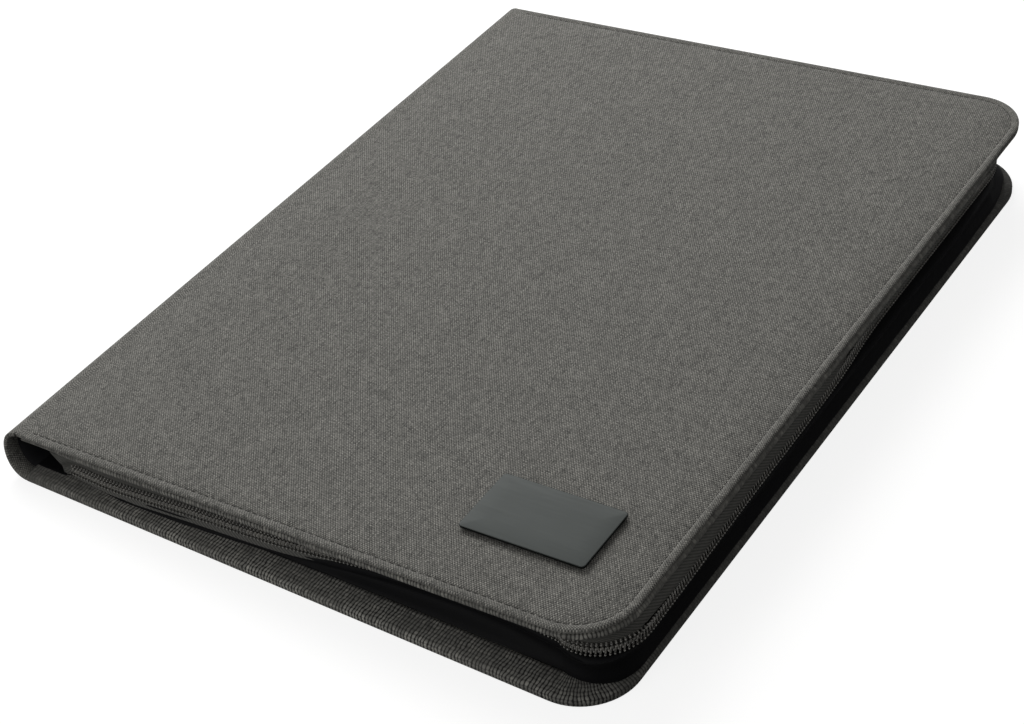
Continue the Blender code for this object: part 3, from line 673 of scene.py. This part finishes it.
zipper = inMetres(
    start=16.1,  # from the spine's curve
    lowerStart=16.4,
    insets=(4.8, 3.6, 9.2),  # front, long side, back
    corners=(20, 30),
    teethDepth=12.309,
    rowInner=0.4,  # from the middle line to each tape
    pitch=1.55,
    toothWidth=0.34,  # radius of the nylon filament
    slant=0.28,
    tapeTop=4.1,
    lowerTape=4.5,
    endRound=8.5,  # the tape's end is cut round
    sunk=2.3,  # the lower teeth behind the upper ones, along the long side
)
teethTurn = (18, -72)  # degrees that the teeth look up there
# Station along the zip and the mm in from the rim where the tape comes out
zipTuck = [(0, .7), (.25, 1), (.45, 3.4), (1.1, 3.4), (1.4, 2), (1.8, 1), (2.9, 1), (3.1, 5), (3.5, 6.5), (4, 5),
    (5, 4)]
# The shut zip is slack: station and the mm that it lies in from its even path
zipSway = [(0, 0), (.09, 0), (.135, -1.6), (.2, -1.8), (.26, -1.2), (.31, -.6), (.37, 0), (.444, .3), (.508, .8),
    (.56, 2), (.62, 4), (.704, 6), (.811, 7.2), (.875, 7), (.917, 6.4), (.96, 5.2), (1, 3.9), (1.115, 2.3),
    (1.22, 1), (1.39, -.8), (1.55, -2.2), (1.72, -3.1), (1.89, -3.4), (2.04, -3.1), (2.1, -2.6), (2.2, -1.9),
    (2.26, -1.5), (2.36, -1.4), (2.41, -1.1), (2.464, -.9), (2.5, -.8), (2.534, 0), (2.584, 1.4), (2.62, 1.8),
    (2.94, 1.9), (3.6, 0), (5, 0)]
teethDepth = zipper["teethDepth"]
zipFront, zipRight, zipBack = zipper["insets"]


def zipLine(start, end, spacing=4 * mm):
    # a side path moved by the zip's sway
    moved = []
    even = sidePath(start, end, reach - zipRight, zipFront, length - zipBack, zipper["corners"], spacing, 24)
    for x, y, outX, outY, station, run in even:
        # the sway, smoothed over 0.09 of a side
        near = [lookUp(zipSway, station + step) for step in (-.045, -.03, -.015, 0, .015, .03, .045)]
        sway = float(np.mean(near)) * mm
        moved.append((x - outX * sway, y - outY * sway, outX, outY, station))
    return withRun(moved)


def besideLong(station):
    # 1 along the long side, 0 along the short ones
    return smooth(station, 1.1, 1.7) * (1 - smooth(station, 2.85, 3.15))


def endLevel(x):
    # how deep the tape reaches
    t = min(max((x - zipper["start"]) / zipper["endRound"], 0.0), 1.0)
    return zipper["tapeTop"] + 0.3 * mm + 12.4 * mm * sqrt(1 - (1 - t) ** 2)


def upperTapeSection(x, y, outX, outY, station):
    top = zipper["tapeTop"]
    # at its spine end the tape is folded out over the bottom stop
    tab = (1 - smooth(x, 21.8 * mm, 25 * mm)) * (outY < 0)
    low = min(teethDepth - zipper["rowInner"] + 3.4 * mm * tab, endLevel(x))
    tucked = rimDistance(x, y, reach) - lookUp(zipTuck, station) * mm
    wave = 0.15 * mm * ripple(x, y, 24 * mm, 3.0)
    # along the long side's back half spare tape folds out over the rim
    fold = smooth(station, 2.44, 2.6) * (1 - smooth(station, 2.88, 3.08))
    # before that it covers the upper teeth
    over = smooth(station, 1.95, 2.15) * (1 - fold)
    lip = (.4 * smooth(station, 1.4, 2) * (1 - fold) + 1.3 * over) * mm
    drop = .13 * over
    shape = []
    for part, straight, folded in ((0, 1, 1), (.1, .97, 1.12), (.2, .88, 1.22), (.3, .7, 1.2), (.4, .46, 1.04),
            (.5, .24, .6), (.6, .1, .2), (.7, 0, 0), (.76 + drop, 0, 0),
            (.8 + drop, 0, 0), (.98, 0, 0), (1, 0, 0)):
        out = tucked * (straight * (1 - fold) + folded * fold) + wave * sin(pi * part)
        out += lip * smooth(part, .3, .65) if part < .78 + drop else -lip
        out += 2.1 * mm * tab * smooth(part, .15, .45) - .1 * mm * (part == 1)
        shape.append((out, top + (low - top) * part))
    return shape + [(out - 0.55 * mm, depth) for out, depth in shape[::-1]]


def lowerTapeSection(x, y, outX, outY, station):
    top = teethDepth + zipper["rowInner"]
    low = min(top + zipper["lowerTape"], depthAt(x, layout["inside"]) - .05 * mm, endLevel(x))
    low = max(low, top + .3 * mm)
    middle = (top + low) / 2
    beside = besideLong(station)
    flare = .45 * smooth(station, 0, .12) * (1 - smooth(station, .5, .75)) - .9 * beside
    half = [(-.1, top), (0, top + .1 * mm), (0, middle), (0, low - .1 * mm), (-.1, low)]
    shape = half + [(-.55 - out, depth) for out, depth in half[::-1]]
    return [(out * mm + (depth - top) * flare, top + (depth - top) * (1 - .35 * beside)) for out, depth in shape]


upperTape = pathStrip("upperZipTapeCloth", zipLine(*[zipper["start"]] * 2), upperTapeSection, onCover, zipTape)
lowerTape = pathStrip("lowerZipTapeCloth", zipLine(*[zipper["lowerStart"]] * 2), lowerTapeSection, onCover, zipTape)

gusset = inMetres(
    start=24,
    top=14.9,  # depth of its folded edge
    ridge=1.5,  # how far the fold stands out, at the short sides
    ridgeDrop=2.4,  # and how far down it lies
    thick=0.5,
    creases=0.5,
)
# Station and the mm in from the rim where the gusset meets the hem
gussetFoot = [(0, 4.3), (.1, 4), (.15, 2), (.2, .8), (.31, 1.7), (.38, 3), (.48, 5.2), (.72, 6.3), (.9, 6.5),
    (1.05, 6), (1.2, 4.6), (1.4, 2.6), (1.6, 1.2), (1.9, 1.1), (2.9, 1.2), (3.2, 3), (3.5, 6), (3.9, 7.5),
    (5, 8)]


def gussetSection(x, y, outX, outY, station):
    inset = rimDistance(x, y, reach)
    top = gusset["top"]
    tall = max(depthAt(x, layout["inside"]) - top, 0.1 * mm)
    beside = besideLong(station)
    ridge = (gusset["ridge"] * (1 - beside) + (inset + .2 * mm) * beside) * smooth(tall, 0, 3 * mm)
    ridgeDrop = min(gusset["ridgeDrop"] * (1 - beside) + .5 * mm * beside, tall * .35)
    foot = inset - lookUp(gussetFoot, station) * mm
    slack = ripple(x * 0.6, y * 0.6, 17 * mm, 6.0) * 0.6 + ripple(x, y, 9 * mm, 16.0) * 0.4
    crease = gusset["creases"] * slack * smooth(x, 16 * mm, 60 * mm)
    below = tall - ridgeDrop
    hollow = min(below * .35, 1.6 * mm)
    behind = -.7 * mm - 1.4 * mm * beside
    shape = [(behind, 0), (behind + .25 * mm, .06 * mm), (.45 * ridge, .18 * ridgeDrop), (.85 * ridge, .5 * ridgeDrop),
        (ridge, ridgeDrop)]
    for t in (.08, .18, .3, .45, .6, .75, .9, 1.0):
        sag = crease * sin(pi * t) - hollow * sin(pi * min(t * 1.15, 1) ** .8)
        shape.append((ridge + (foot - ridge) * t + sag, ridgeDrop + below * t))
    outer = [(out, top + min(drop, tall)) for out, drop in shape]
    return outer + [(out - gusset["thick"], depth) for out, depth in outer[::-1]]


gussetCover = pathStrip("lowerGussetCloth", zipLine(*[gusset["start"]] * 2), gussetSection, onCover, gussetCloth, 60)
print("tapes and gusset made")


def alongGuide(name, inputs, shape, material):
    # A tree that sets a shape at every pitch of the guide, its X along it and its Y away from the case.
    tree = bpy.data.node_groups.new(name, "GeometryNodeTree")
    add, newSocket = partial(addNode, tree), tree.interface.new_socket
    newSocket("Guide", in_out="INPUT", socket_type="NodeSocketGeometry")
    for label, value in inputs.items():
        newSocket(label, in_out="INPUT", socket_type="NodeSocketFloat").default_value = value
    newSocket("Geometry", in_out="OUTPUT", socket_type="NodeSocketGeometry")
    given = add("NodeGroupInput").outputs
    evenly = add("ResampleCurve", {"Curve": add("MeshToCurve", (given["Guide"],)), "Length": given["Pitch"]},
        mode="LENGTH")
    away = add("InputNamedAttribute", {"Name": "away"}, data_type="FLOAT_VECTOR")
    facing = add("FunctionNodeAxesToRotation", (add("InputTangent"), away), primary_axis="X", secondary_axis="Y")
    placed = add("InstanceOnPoints", {"Points": evenly, "Instance": shape(add, given), "Rotation": facing})
    shaded = add("SetShadeSmooth", (add("RealizeInstances", (placed,)),))
    add("NodeGroupOutput", (add("SetMaterial", {0: shaded, "Material": material}),))
    return tree


def grow(name, spots, tree, **values):
    # Runs the tree along places, each with its direction away from the case, and keeps a plain mesh.
    line = bpy.data.meshes.new("guide")
    line.from_pydata([tuple(place) for place, away in spots], [(i, i + 1) for i in range(len(spots) - 1)], [])
    attribute = line.attributes.new("away", "FLOAT_VECTOR", "POINT")
    attribute.data.foreach_set("vector", np.array([away for place, away in spots], np.float32).ravel())
    guide = newObject("guide", line)
    modifier = guide.modifiers.new("grow", "NODES")
    modifier.node_group = tree
    for item in tree.interface.items_tree:
        if item.in_out == "INPUT" and item.name in values:
            modifier[item.identifier] = values[item.name]
    mesh = bpy.data.meshes.new_from_object(guide.evaluated_get(bpy.context.evaluated_depsgraph_get()))
    bpy.data.objects.remove(guide)
    mesh.name = name
    return newObject(name, mesh)


def toothShape(add, given):
    # A tooth: a bent filament with a thick head at the middle line and a thick turn at its tape.
    side, slant, shift, radius = (given[key] for key in ("Side", "Slant", "Shift", "Radius"))
    back = add("ShaderNodeMath MULTIPLY", (slant, -1.0))

    def spot(x, y, z):
        level = add("ShaderNodeMath MULTIPLY", (side, z * mm))
        return add("ShaderNodeCombineXYZ", (add("ShaderNodeMath ADD", (x, shift)), y * mm, level))

    filament = add("CurveQuadraticBezier", {"Resolution": 6, "Start": spot(slant, .25, -.8),
        "Middle": spot(0.0, .9, 1.0), "End": spot(back, .1, 2.75)})
    section = add("CurvePrimitiveCircle", {"Resolution": 6, "Radius": radius})
    bar = add("CurveToMesh", {"Curve": filament, "Profile Curve": section, "Fill Caps": True})
    both = add("JoinGeometry", (bar,))
    knob = add("MeshIcoSphere", {"Radius": add("ShaderNodeMath MULTIPLY", (radius, 1.35))})
    for place in ((slant, .6, -.55), (back, .75, 2.2)):
        connect(both, {0: add("Transform", {"Geometry": knob, "Translation": spot(*place)})})
    return both


def stitchShape(add, given):
    # A stitch: a short thread sunk at both ends.
    half = [add("ShaderNodeMath MULTIPLY", (given[key], 0.5)) for key in ("Length", "Depth", "Width")]
    at = add("ShaderNodeCombineXYZ", [given[key] for key in ("Shift", "Out", "Level")])
    return add("Transform", {"Geometry": add("MeshIcoSphere", {"Subdivisions": 2}), "Translation": at,
        "Scale": add("ShaderNodeCombineXYZ", half)})


# From the bottom stop to the slider's stops.
coilLine = zipLine(21.4 * mm, 38.3 * mm, spacing=2.5 * mm)
guides = []
for turn, sunk in zip(teethTurn, (0.0, zipper["sunk"])):
    spots = []
    for x, y, outX, outY, station, run in coilLine:
        turned = smooth(station, 1.75, 2.12) * besideLong(station)
        out = 0.35 * mm - sunk * turned
        angle = radians(turn * turned)
        away = (onCover(outX, outY, 0) - onCover(0, 0, 0)).normalized()
        spots.append((onCover(x + outX * out, y + outY * out, teethDepth + sunk * turned * .6),
            away * cos(angle) + coverNormal * sin(angle)))
    guides.append(spots)
pitch = zipper["pitch"]
teeth = alongGuide("zipTeeth", {"Pitch": pitch, "Radius": zipper["toothWidth"], "Side": 1.0,
    "Slant": zipper["slant"], "Shift": 0.0}, toothShape, coilNylonPaintedHighlight)
upperTeeth = grow("upperTeeth", guides[0], teeth, Side=1.0, Shift=0.0)
lowerTeeth = grow("lowerTeeth", guides[1], teeth, Side=-1.0, Shift=pitch / 2)
stitches = alongGuide("stitches", {"Pitch": pitch, "Length": 0.75 * mm, "Width": 0.5 * mm, "Depth": 0.4 * mm,
    "Shift": 0.0, "Level": 0.0, "Out": 0.8 * mm}, stitchShape, sewingThread)
upperCoilThread = grow("upperCoilThread", guides[0], stitches, Level=1.75 * mm)
lowerCoilThread = grow("lowerCoilThread", guides[1], stitches, Level=-1.75 * mm, Shift=pitch / 2)
print("teeth made")

# Topstitching round the front cover.

stitching = inMetres(inset=3.2, pitch=3.1, length=2.45, width=0.42, depth=0.28, start=8)
inset = stitching["inset"]
sewLine = sidePath(stitching["start"], stitching["start"], reach - inset, inset, length - inset,
    (corner - inset, corner - inset), 3 * mm)
spots = [(onCover(x, y, coverTop(x, y) - 0.02 * mm), coverNormal) for x, y, *_ in sewLine]
topstitch = grow("topstitching", spots, stitches, Pitch=stitching["pitch"], Length=stitching["length"],
    Width=stitching["width"], Depth=stitching["depth"], Out=0.0)
print("stitches made")

# Plate on the front cover.

plate = {"length": 50, "width": 29.5, "corner": 1.6, "fromZipEdge": 48, "fromFront": 40.3, "low": -1.9, "high": -2.9}
plateX, plateY = reach / mm - plate["fromZipEdge"], plate["fromFront"]
plateEdges = [edge * mm for edge in (plateX - plate["length"] / 2, plateX + plate["length"] / 2,
    plateY - plate["width"] / 2, plateY + plate["width"] / 2)]
low, high = plate["low"], plate["high"]
specs = [(inset, inset, depth) for inset, depth in (
    (8, low), (.25, low), (.08, low - .06), (0, low - .2), (0, high + .24), (.06, high + .08), (.2, high + .02),
    (.4, high), (8, high))]
namePlate = shell("blankPlate", specs, plateEdges, (plate["corner"] * mm,) * 4,
    lambda spot, inset, depth: (onCover(*spot[:2], depth * mm), spot[:2]), gunmetal, 30,
    arcSteps=8, sideSteps=(6, 4, 6, 4))
print("plate made")

# Inside: pockets, pad sleeve, pad binding and pen loop.

pockets = {"left": 20 * mm, "right": reach - 23 * mm, "front": 22 * mm, "mouth": 252 * mm, "depths": (4.3, 4.9)}
pocket = flatPanel("documentPocketCloth", [pockets[key] for key in ("left", "right", "front", "mouth")],
    (8 * mm,) * 4, pockets["depths"], onCover, lining, uneven=0.06, seed=8.0)
cardSlots = {**inMetres(width=100, tall=30, spacing=4, inset=23, drop=34), "depths": (5.2, 5.7)}
right, cards = pockets["right"] - cardSlots["inset"], []
for number in range(3):
    back = pockets["mouth"] - cardSlots["drop"] - number * (cardSlots["tall"] + cardSlots["spacing"])
    cards.append(flatPanel(f"cardSlotCloth{number + 1}",
        (right - cardSlots["width"], right, back - cardSlots["tall"], back), (2 * mm,) * 4,
        cardSlots["depths"], onCover, lining, uneven=0.04, seed=20.0 + number))

inner = inMetres(pad=(34, 244), padEnd=324.5, sleeve=(31, 247), sleeveAlong=(34, 184), sleeveTop=5.3, floor=3.6,
    bindingTop=11.3, loop=(16.5, 30.5), loopAlong=(162.5, 184.5), loopTop=13.1, loopRound=3.9)
floor = inner["floor"]


def bentStrip(name, section, thick, ends, place, material, steps):
    # A strip of cloth bent to a line of points and carried between two ends.
    line = [Vector(p) for p in section]
    inside = []
    for number, point in enumerate(line):
        along = (line[min(number + 1, len(line) - 1)] - line[max(number - 1, 0)]).normalized()
        inside.append(point + Vector((along.y, -along.x)) * thick)
    return carried(name, line, inside, ends, place, material, steps, 50)


def carried(name, outer, within, ends, place, material, steps, sharp, turned=1):
    run = [0.0]
    for one, other in zip(outer, outer[1:]):
        run.append(run[-1] + dist(one, other))
    stations = [ends[0] + (ends[1] - ends[0]) * step / steps for step in range(steps + 1)]
    grids = [[[place(*point, at) for point in points] for at in stations] for points in (outer, within)]
    return thickSheet(name, *grids, [[(at, r)[::turned] for r in run] for at in stations], material, sharp)


def sideways(x, z, at):
    return centred(x, at, z)


(left, right), top = inner["sleeve"], inner["sleeveTop"]
across = [(left, floor), (left + .05 * mm, top - .5 * mm), (left + .5 * mm, top - .05 * mm)]
across += [(left + (right - left) * s / 24, top) for s in range(1, 24)]
across += [(right - .5 * mm, top - .05 * mm), (right - .05 * mm, top - .5 * mm), (right, floor)]
sleeve = bentStrip("padSleeveCloth", across, 0.5 * mm, inner["sleeveAlong"], sideways, lining, 12)
head, top = inner["padEnd"] + .35 * mm, inner["bindingTop"]
over = [(head - 10.3 * mm, top), (head - 5 * mm, top), (head, top), (head + .3 * mm, top - .1 * mm),
    (head + .4 * mm, top - .4 * mm), (head + .4 * mm, floor + 2 * mm), (head + .4 * mm, floor)]
binding = bentStrip("padBindingTape", over, 0.35 * mm, inner["pad"], lambda y, z, at: centred(at, y, z),
    bindingTape, 16)


def loopRing(inset):
    ring = outline(*inner["loop"], floor, inner["loopTop"], (inner["loopRound"],) * 4, inset, inset, 8, (1,) * 4)
    return [(x, z) for x, z, *rest in ring + ring[:1]]


penLoop = carried("penLoopElastic", loopRing(0), loopRing(0.9 * mm), inner["loopAlong"], sideways, elastic, 8, 38,
    turned=-1)
print("inside made")

# Each piece's body, slot and solids; a sheet's flat size in m, what it rests on and how it is held, and its
# area where it is cut narrower than 10 mm.

grey, black = "melange_polyester", "black_lining"
front, back, both = "front_cover", "back_cover", "spine"
pieces = [
    (frontCoverCloth, front, grey, "front_cover_fabric front_foam"),
    (backCoverCloth, back, grey, "back_cover_fabric", (.2678, .3756), "back_board"),
    (spineFrontCloth, both, grey, "spine_upper_fold spine_fabric", (.01, .347), "front_board"),
    (spineBackCloth, both, grey, "spine_lower_fold", (.018, .347), "back_board"),
    (spineBackLining, both, black, "", (.0166, .339), "spineBackCloth"),
    (spineFrontLining, both, black, "spine_lining", (.01, .338), "spineFrontCloth", "stretched", .0029),
    (frontEdgeBand, front, grey, "", (.01, .839), "front_board", "folded", .0054),
    (lowerTape, back, "black_zip_tape", "lower_zip_tape", (.01, .78), "lowerGussetCloth", "stretched", .0037),
    (upperTape, front, "black_zip_tape", "upper_zip_tape", (.0115, .788), "frontEdgeBand"),
    (gussetCover, back, black, "lower_gusset_wall", (.013, .772), "backCoverCloth", "folded"),
    (binding, back, "black_binding_tape", "pad_binding", (.0184, .21), "pad_sheets", "folded"),
    (penLoop, back, "black_elastic", "pen_loop", (.04, .022), "backLining", "folded"),
    (frontLining, front, black, "front_lining", (.254, .339), "front_board"),
    (backLining, back, black, "back_lining", (.241, .3244), "back_board"),
    (wallEnd, back, black, "", (.0172, .011), "backCoverCloth"),
    (pocket, front, black, "document_pocket", (.215, .230), "frontLining"),
    *((card, front, black, f"card_slot_{number + 1}", (.1, .03), "documentPocketCloth")
      for number, card in enumerate(cards)),
    (sleeve, back, black, "pad_sleeve", (.2194, .15), "pad_card"),
    (upperTeeth, front, "black_nylon", "upper_zip_coil"),
    (lowerTeeth, back, "black_nylon", "lower_zip_coil"),
    (namePlate, front, "gunmetal_plate", "name_plate"),
    (upperCoilThread, front, "", ""),
    (lowerCoilThread, back, "", ""),
    (topstitch, front, "", ""),
]
for layer in (spineBackCloth, spineBackLining):
    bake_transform(layer)
for layer in (spineFrontCloth, spineFrontLining):
    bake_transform(layer)
for piece, body, slot, solids, *sheet in pieces:
    if body != both:
        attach(piece, body)
    if solids:
        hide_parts(*solids.split())

dressed = {"front_board back_board": greyBoard, "pad_card": padCard, "pad_sheets": paper,
    "plate_backing": blackAdhesive, "zip_slider pull_tab": blackZinc,
    "upper_top_stop lower_top_stop zip_bottom_stop": blackStop}
for names, material in dressed.items():
    for name in names.split():
        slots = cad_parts[name].data.materials
        slots.clear()
        slots.append(material)

# Floor, light and camera.

studio = {"glow": 0.83, "farGlow": 0.95, "floor": "#8f8f8e", "bounce": "#5a5a59", "ambient": 0.32, "key": 25.0,
    "fill": 5.0, "wide": 8.0}
wide = studio["wide"]
floorMesh = bpy.data.meshes.new("studioFloor")
floorMesh.from_pydata([(-wide, -wide, 0), (wide, -wide, 0), (wide, wide, 0), (-wide, wide, 0)], [], [(0, 1, 2, 3)])
newObject("studioFloor", floorMesh)
# Matt paper sweep, lit for the camera so that it is white up to the contact shadow.
floorFinish, add, finish = newFinish("paperSweep", Roughness=1.0, specular=0.0)
seen = add("LightPath").outputs["Is Camera Ray"]
shown = add("Mix", {0: seen, 6: hexColour(studio["bounce"]), 7: hexColour(studio["floor"])}, data_type="RGBA")
away = add("VectorMath LENGTH", (add("TexCoord").outputs["Object"],))
lift = add("MapRange", (away.outputs["Value"], 0.5, 1.6, studio["glow"], studio["farGlow"]))
finish({"Base Color": shown.outputs[2], "Emission Color": (1, 1, 1, 1),
    "Emission Strength": add("Math MULTIPLY", (seen, lift))})
floorMesh.materials.append(floorFinish)

world = bpy.data.worlds.new("studio")
bpy.context.scene.world = world
world.use_nodes = True
world.node_tree.nodes.clear()
add = partial(addNode, world.node_tree)
rays = add("LightPath").outputs
direct = add("Math MAXIMUM", (rays["Is Camera Ray"], rays["Is Transmission Ray"]))
background = add("Math MAXIMUM", (direct, rays["Is Glossy Ray"]))
strength = add("Mix", {0: background, 2: studio["ambient"], 3: 1.0})
add("OutputWorld", (add("Background", {"Color": (1, 1, 1, 1), "Strength": strength}),))


def softbox(name, place, target, size, power):
    light = bpy.data.lights.new(name, "AREA")
    light.shape, light.size, light.size_y, light.energy = "RECTANGLE", *size, power
    made = newObject(name, light)
    made.location = place
    made.rotation_mode = "QUATERNION"
    made.rotation_quaternion = (Vector(target) - Vector(place)).to_track_quat("-Z", "Y")


softbox("keyBox", (-0.95, 0.8, 0.95), (0, 0.03, 0), (1.2, 0.9), studio["key"])
softbox("fillBox", (-0.45, -1.3, 0.28), (0, 0, 0), (0.7, 0.5), studio["fill"])

view = {"place": (0.3905, -0.5443, 0.5072), "right": (0.8356, 0.542, -0.0904), "up": (-0.2802, 0.562, 0.779),
    "focal": 2099 / 1024 * 36}
right = Vector(view["right"]).normalized()
backward = right.cross(Vector(view["up"])).normalized()
cameraData = bpy.data.cameras.new("camera")
cameraData.sensor_width, cameraData.lens = 36.0, view["focal"]
cameraData.clip_start, cameraData.clip_end = 0.01, 20
camera = newObject("camera", cameraData)
axes = Matrix((right, backward.cross(right), backward)).transposed()
camera.matrix_world = Matrix.Translation(view["place"]) @ axes.to_4x4()
bpy.context.scene.camera = camera
bpy.context.scene.view_settings.view_transform = "Standard"

print("scene ready")
